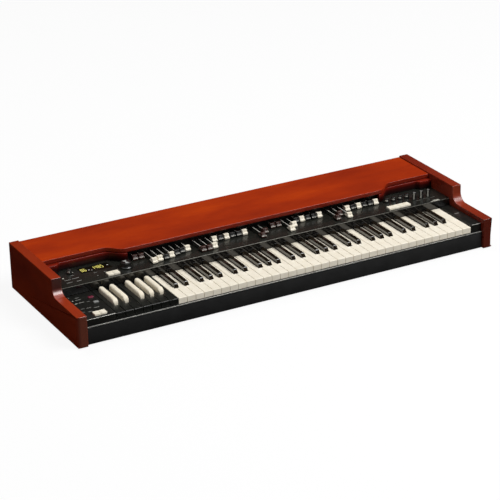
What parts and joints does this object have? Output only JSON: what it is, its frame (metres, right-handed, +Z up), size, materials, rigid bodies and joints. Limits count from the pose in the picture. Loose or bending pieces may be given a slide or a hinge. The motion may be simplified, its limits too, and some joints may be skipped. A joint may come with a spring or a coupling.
{
  "type": "portable tonewheel organ",
  "caption": "Portable drawbar organ with a keyboard, sliding drawbars, knobs, rocker tabs and a display in a low wooden case with a scalloped cover.",
  "frame": {"origin": "centre of the footprint, on the surface that the feet stand on", "axes": "+X from the low notes to the high notes, +Y away from the player, +Z up"},
  "size_m": [1.179, 0.4136, 0.1281],
  "materials": {
    "case_wood": "satin lacquer",
    "base_plywood": "matte",
    "panel_black": "satin",
    "black_plastic": "satin",
    "ivory_plastic": "gloss",
    "brown_plastic": "satin",
    "red_plastic": "satin",
    "grey_plastic": "satin",
    "steel_sheet": "plain",
    "circuit_board": "matte",
    "display_plastic": "gloss"
  },
  "bodies": {
    "case": {"side_panel_left": "case_wood", "side_panel_right": "case_wood", "top_cover": "case_wood", "back_panel": "case_wood", "base_board": "base_plywood", "front_rail": "black_plastic", "control_panel": "panel_black", "drawbar_chassis": "panel_black", "end_block_left": "black_plastic", "end_block_right": "black_plastic", "keybed_frame": "steel_sheet", "display_window": "display_plastic", "tone_generator_board": "circuit_board", "power_supply": "steel_sheet", "socket_plate": "steel_sheet"},
    "drawbars_a_1_2": {"drawbars_a_1_2": "brown_plastic"},
    "drawbars_a_3_5": {"drawbars_a_3_5": "ivory_plastic"},
    "drawbars_a_6_7": {"drawbars_a_6_7": "ivory_plastic"},
    "drawbars_a_8_9": {"drawbars_a_8_9": "ivory_plastic"},
    "drawbars_b_1_3": {"drawbars_b_1_3": "brown_plastic"},
    "drawbars_b_4_9": {"drawbars_b_4_9": "ivory_plastic"},
    "pedal_drawbar_1": {"pedal_drawbar_1": "brown_plastic"},
    "pedal_drawbar_2": {"pedal_drawbar_2": "brown_plastic"},
    "drawbars_c_1_2": {"drawbars_c_1_2": "brown_plastic"},
    "drawbars_c_3_4": {"drawbars_c_3_4": "ivory_plastic"},
    "drawbars_c_5_9": {"drawbars_c_5_9": "ivory_plastic"},
    "drawbars_d_1_3": {"drawbars_d_1_3": "brown_plastic"},
    "drawbars_d_4_9": {"drawbars_d_4_9": "ivory_plastic"},
    "natural_keys_octave_1": {"natural_keys_octave_1": "ivory_plastic"},
    "sharp_keys_octave_1": {"sharp_keys_octave_1": "black_plastic"},
    "natural_keys_octave_2": {"natural_keys_octave_2": "ivory_plastic"},
    "sharp_keys_octave_2": {"sharp_keys_octave_2": "black_plastic"},
    "natural_keys_octave_3": {"natural_keys_octave_3": "ivory_plastic"},
    "sharp_keys_octave_3": {"sharp_keys_octave_3": "black_plastic"},
    "natural_keys_octave_4": {"natural_keys_octave_4": "ivory_plastic"},
    "sharp_keys_octave_4": {"sharp_keys_octave_4": "black_plastic"},
    "natural_keys_octave_5": {"natural_keys_octave_5": "ivory_plastic"},
    "sharp_keys_octave_5": {"sharp_keys_octave_5": "black_plastic"},
    "preset_natural_keys": {"preset_natural_keys": "black_plastic"},
    "preset_sharp_keys": {"preset_sharp_keys": "ivory_plastic"},
    "volume_knob": {"volume_knob": "black_plastic"},
    "vibrato_knob": {"vibrato_knob": "black_plastic"},
    "effect_knob_1": {"effect_knob_1": "black_plastic"},
    "effect_knob_2": {"effect_knob_2": "black_plastic"},
    "effect_knob_3": {"effect_knob_3": "black_plastic"},
    "effect_knob_4": {"effect_knob_4": "black_plastic"},
    "level_knob_1": {"level_knob_1": "black_plastic"},
    "level_knob_2": {"level_knob_2": "black_plastic"},
    "level_knob_3": {"level_knob_3": "black_plastic"},
    "drive_tab_1": {"drive_tab_1": "ivory_plastic"},
    "drive_tab_2": {"drive_tab_2": "ivory_plastic"},
    "voice_tab_1": {"voice_tab_1": "ivory_plastic"},
    "voice_tab_2": {"voice_tab_2": "ivory_plastic"},
    "voice_tab_3": {"voice_tab_3": "ivory_plastic"},
    "voice_tab_4": {"voice_tab_4": "ivory_plastic"},
    "block_tab_1": {"block_tab_1": "ivory_plastic"},
    "block_tab_2": {"block_tab_2": "ivory_plastic"},
    "record_button": {"record_button": "red_plastic"},
    "split_button": {"split_button": "grey_plastic"}
  },
  "joints": [
    {"name": "drawbars_a_1_2_slide", "type": "slide", "parent": "case", "child": "drawbars_a_1_2", "axis": [0, -1, 0], "range_m": [0, 0.042]},
    {"name": "drawbars_a_3_5_slide", "type": "slide", "parent": "case", "child": "drawbars_a_3_5", "axis": [0, -1, 0], "range_m": [-0.03675, 0]},
    {"name": "drawbars_a_6_7_slide", "type": "slide", "parent": "case", "child": "drawbars_a_6_7", "axis": [0, -1, 0], "range_m": [-0.02625, 0.0105]},
    {"name": "drawbars_a_8_9_slide", "type": "slide", "parent": "case", "child": "drawbars_a_8_9", "axis": [0, -1, 0], "range_m": [-0.01575, 0.021]},
    {"name": "drawbars_b_1_3_slide", "type": "slide", "parent": "case", "child": "drawbars_b_1_3", "axis": [0, -1, 0], "range_m": [-0.03675, 0]},
    {"name": "drawbars_b_4_9_slide", "type": "slide", "parent": "case", "child": "drawbars_b_4_9", "axis": [0, -1, 0], "range_m": [0, 0.042]},
    {"name": "pedal_drawbar_1_slide", "type": "slide", "parent": "case", "child": "pedal_drawbar_1", "axis": [0, -1, 0], "range_m": [-0.042, 0]},
    {"name": "pedal_drawbar_2_slide", "type": "slide", "parent": "case", "child": "pedal_drawbar_2", "axis": [0, -1, 0], "range_m": [-0.021, 0.021]},
    {"name": "drawbars_c_1_2_slide", "type": "slide", "parent": "case", "child": "drawbars_c_1_2", "axis": [0, -1, 0], "range_m": [0, 0.042]},
    {"name": "drawbars_c_3_4_slide", "type": "slide", "parent": "case", "child": "drawbars_c_3_4", "axis": [0, -1, 0], "range_m": [-0.021, 0]},
    {"name": "drawbars_c_5_9_slide", "type": "slide", "parent": "case", "child": "drawbars_c_5_9", "axis": [0, -1, 0], "range_m": [0, 0.042]},
    {"name": "drawbars_d_1_3_slide", "type": "slide", "parent": "case", "child": "drawbars_d_1_3", "axis": [0, -1, 0], "range_m": [-0.021, 0]},
    {"name": "drawbars_d_4_9_slide", "type": "slide", "parent": "case", "child": "drawbars_d_4_9", "axis": [0, -1, 0], "range_m": [0, 0.042]},
    {"name": "natural_keys_octave_1_dip", "type": "hinge", "parent": "case", "child": "natural_keys_octave_1", "pos_m": [-0.23385, 0.0403, 0.0564], "axis": [1, 0, 0], "range_deg": [0, 2.44], "stiffness_Nm_per_rad": 4, "springref_deg": -17.19},
    {"name": "sharp_keys_octave_1_dip", "type": "hinge", "parent": "case", "child": "sharp_keys_octave_1", "pos_m": [-0.23385, 0.0403, 0.0564], "axis": [1, 0, 0], "range_deg": [0, 2.44], "stiffness_Nm_per_rad": 4, "springref_deg": -17.19},
    {"name": "natural_keys_octave_2_dip", "type": "hinge", "parent": "case", "child": "natural_keys_octave_2", "pos_m": [-0.06935, 0.0403, 0.0564], "axis": [1, 0, 0], "range_deg": [0, 2.44], "stiffness_Nm_per_rad": 4, "springref_deg": -17.19},
    {"name": "sharp_keys_octave_2_dip", "type": "hinge", "parent": "case", "child": "sharp_keys_octave_2", "pos_m": [-0.06935, 0.0403, 0.0564], "axis": [1, 0, 0], "range_deg": [0, 2.44], "stiffness_Nm_per_rad": 4, "springref_deg": -17.19},
    {"name": "natural_keys_octave_3_dip", "type": "hinge", "parent": "case", "child": "natural_keys_octave_3", "pos_m": [0.09515, 0.0403, 0.0564], "axis": [1, 0, 0], "range_deg": [0, 2.44], "stiffness_Nm_per_rad": 4, "springref_deg": -17.19},
    {"name": "sharp_keys_octave_3_dip", "type": "hinge", "parent": "case", "child": "sharp_keys_octave_3", "pos_m": [0.09515, 0.0403, 0.0564], "axis": [1, 0, 0], "range_deg": [0, 2.44], "stiffness_Nm_per_rad": 4, "springref_deg": -17.19},
    {"name": "natural_keys_octave_4_dip", "type": "hinge", "parent": "case", "child": "natural_keys_octave_4", "pos_m": [0.25965, 0.0403, 0.0564], "axis": [1, 0, 0], "range_deg": [0, 2.44], "stiffness_Nm_per_rad": 4, "springref_deg": -17.19},
    {"name": "sharp_keys_octave_4_dip", "type": "hinge", "parent": "case", "child": "sharp_keys_octave_4", "pos_m": [0.25965, 0.0403, 0.0564], "axis": [1, 0, 0], "range_deg": [0, 2.44], "stiffness_Nm_per_rad": 4, "springref_deg": -17.19},
    {"name": "natural_keys_octave_5_dip", "type": "hinge", "parent": "case", "child": "natural_keys_octave_5", "pos_m": [0.42415, 0.0403, 0.0564], "axis": [1, 0, 0], "range_deg": [0, 2.44], "stiffness_Nm_per_rad": 4, "springref_deg": -17.19},
    {"name": "sharp_keys_octave_5_dip", "type": "hinge", "parent": "case", "child": "sharp_keys_octave_5", "pos_m": [0.42415, 0.0403, 0.0564], "axis": [1, 0, 0], "range_deg": [0, 2.44], "stiffness_Nm_per_rad": 4, "springref_deg": -17.19},
    {"name": "preset_natural_keys_dip", "type": "hinge", "parent": "case", "child": "preset_natural_keys", "pos_m": [-0.39835, 0.0403, 0.0564], "axis": [1, 0, 0], "range_deg": [0, 2.44], "stiffness_Nm_per_rad": 4, "springref_deg": -17.19},
    {"name": "preset_sharp_keys_dip", "type": "hinge", "parent": "case", "child": "preset_sharp_keys", "pos_m": [-0.39835, 0.0403, 0.0564], "axis": [1, 0, 0], "range_deg": [0, 2.44], "stiffness_Nm_per_rad": 4, "springref_deg": -17.19},
    {"name": "vibrato_knob_turn", "type": "hinge", "parent": "case", "child": "vibrato_knob", "pos_m": [-0.3671, -0.0077, 0.09], "axis": [0, 0, 1], "range_deg": [-135, 135]},
    {"name": "voice_tab_1_press", "type": "hinge", "parent": "case", "child": "voice_tab_1", "pos_m": [0.39115, -0.0197, 0.09], "axis": [1, 0, 0], "range_deg": [0, 6], "stiffness_Nm_per_rad": 0.05, "springref_deg": -11.46},
    {"name": "record_button_press", "type": "slide", "parent": "case", "child": "record_button", "axis": [0, 0, -1], "range_m": [0, 0.002], "stiffness_N_per_m": 200, "springref_m": -0.005},
    {"name": "level_knob_1_turn", "type": "hinge", "parent": "case", "child": "level_knob_1", "pos_m": [0.4787, -0.0047, 0.09], "axis": [0, 0, 1], "range_deg": [-135, 135]},
    {"name": "volume_knob_turn", "type": "hinge", "parent": "case", "child": "volume_knob", "pos_m": [-0.5041, 0.0293, 0.09], "axis": [0, 0, 1], "range_deg": [-135, 135]},
    {"name": "effect_knob_1_turn", "type": "hinge", "parent": "case", "child": "effect_knob_1", "pos_m": [0.4057, 0.0153, 0.09], "axis": [0, 0, 1], "range_deg": [-135, 135]},
    {"name": "effect_knob_2_turn", "type": "hinge", "parent": "case", "child": "effect_knob_2", "pos_m": [0.4263, 0.0153, 0.09], "axis": [0, 0, 1], "range_deg": [-135, 135]},
    {"name": "effect_knob_3_turn", "type": "hinge", "parent": "case", "child": "effect_knob_3", "pos_m": [0.4469, 0.0153, 0.09], "axis": [0, 0, 1], "range_deg": [-135, 135]},
    {"name": "effect_knob_4_turn", "type": "hinge", "parent": "case", "child": "effect_knob_4", "pos_m": [0.4675, 0.0153, 0.09], "axis": [0, 0, 1], "range_deg": [-135, 135]},
    {"name": "level_knob_2_turn", "type": "hinge", "parent": "case", "child": "level_knob_2", "pos_m": [0.5005, -0.0047, 0.09], "axis": [0, 0, 1], "range_deg": [-135, 135]},
    {"name": "level_knob_3_turn", "type": "hinge", "parent": "case", "child": "level_knob_3", "pos_m": [0.5223, -0.0047, 0.09], "axis": [0, 0, 1], "range_deg": [-135, 135]},
    {"name": "drive_tab_1_press", "type": "hinge", "parent": "case", "child": "drive_tab_1", "pos_m": [-0.41985, -0.0197, 0.09], "axis": [1, 0, 0], "range_deg": [0, 6], "stiffness_Nm_per_rad": 0.05, "springref_deg": -11.46},
    {"name": "drive_tab_2_press", "type": "hinge", "parent": "case", "child": "drive_tab_2", "pos_m": [-0.40355, -0.0197, 0.09], "axis": [1, 0, 0], "range_deg": [0, 6], "stiffness_Nm_per_rad": 0.05, "springref_deg": -11.46},
    {"name": "voice_tab_2_press", "type": "hinge", "parent": "case", "child": "voice_tab_2", "pos_m": [0.40745, -0.0197, 0.09], "axis": [1, 0, 0], "range_deg": [0, 6], "stiffness_Nm_per_rad": 0.05, "springref_deg": -11.46},
    {"name": "voice_tab_3_press", "type": "hinge", "parent": "case", "child": "voice_tab_3", "pos_m": [0.42375, -0.0197, 0.09], "axis": [1, 0, 0], "range_deg": [0, 6], "stiffness_Nm_per_rad": 0.05, "springref_deg": -11.46},
    {"name": "voice_tab_4_press", "type": "hinge", "parent": "case", "child": "voice_tab_4", "pos_m": [0.44005, -0.0197, 0.09], "axis": [1, 0, 0], "range_deg": [0, 6], "stiffness_Nm_per_rad": 0.05, "springref_deg": -11.46},
    {"name": "block_tab_1_press", "type": "hinge", "parent": "case", "child": "block_tab_1", "pos_m": [-0.52475, -0.1677, 0.0672], "axis": [1, 0, 0], "range_deg": [0, 6], "stiffness_Nm_per_rad": 0.05, "springref_deg": -11.46},
    {"name": "block_tab_2_press", "type": "hinge", "parent": "case", "child": "block_tab_2", "pos_m": [-0.50845, -0.1677, 0.0672], "axis": [1, 0, 0], "range_deg": [0, 6], "stiffness_Nm_per_rad": 0.05, "springref_deg": -11.46},
    {"name": "split_button_press", "type": "slide", "parent": "case", "child": "split_button", "axis": [0, 0, -1], "range_m": [0, 0.002], "stiffness_N_per_m": 200, "springref_m": -0.005}
  ]
}
